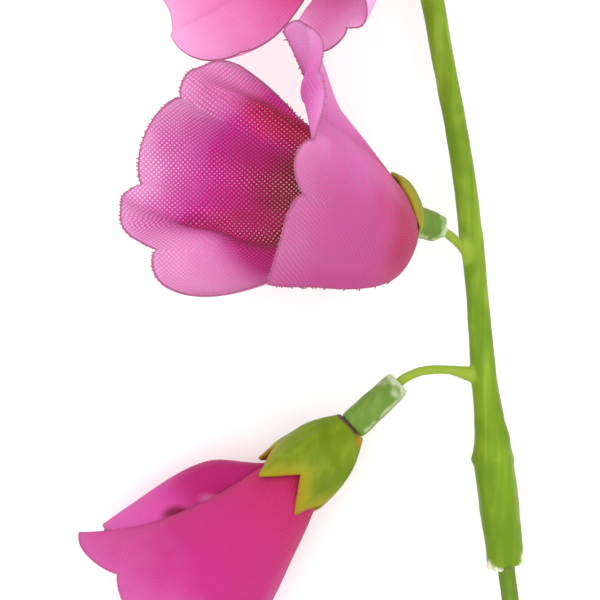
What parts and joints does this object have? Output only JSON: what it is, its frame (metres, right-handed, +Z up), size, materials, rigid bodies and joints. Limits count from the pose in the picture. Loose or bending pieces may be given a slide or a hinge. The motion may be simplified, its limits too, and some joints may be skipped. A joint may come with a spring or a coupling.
{
  "type": "bellflower stem",
  "caption": "Artificial bellflower stem lying down: pink woven fabric bells in green plastic cups on short stalks of a moulded stem plugged onto a coated wire stem.",
  "frame": {"origin": "centre of the part's bounding box in X and Y, on the surface it lies on", "axes": "+Y along the stem towards its tip, +Z up from the surface, the bells' mouths towards -X"},
  "size_m": [0.0724, 0.1802, 0.0548],
  "materials": {
    "stem_plastic": "semi-gloss moulded plastic",
    "rod_plastic": "semi-gloss plastic coating",
    "tube_plastic": "satin moulded plastic",
    "calyx_plastic": "satin moulded plastic, yellow and orange at the edges",
    "pin_plastic": "satin moulded plastic",
    "bell_fabric": "open plain weave, heat-pressed",
    "wire_steel": "drawn wire"
  },
  "bodies": {
    "root": {"spray_stem": "stem_plastic", "lower_stem": "rod_plastic", "wire_core": "wire_steel", "tube_upper": "tube_plastic", "tube_middle": "tube_plastic", "tube_lower": "tube_plastic", "calyx_upper": "calyx_plastic", "calyx_middle": "calyx_plastic", "calyx_lower": "calyx_plastic", "bell_upper": "bell_fabric", "bell_middle": "bell_fabric", "bell_lower": "bell_fabric", "pin_upper": "pin_plastic", "pin_middle": "pin_plastic", "pin_lower": "pin_plastic"}
  },
  "joints": []
}
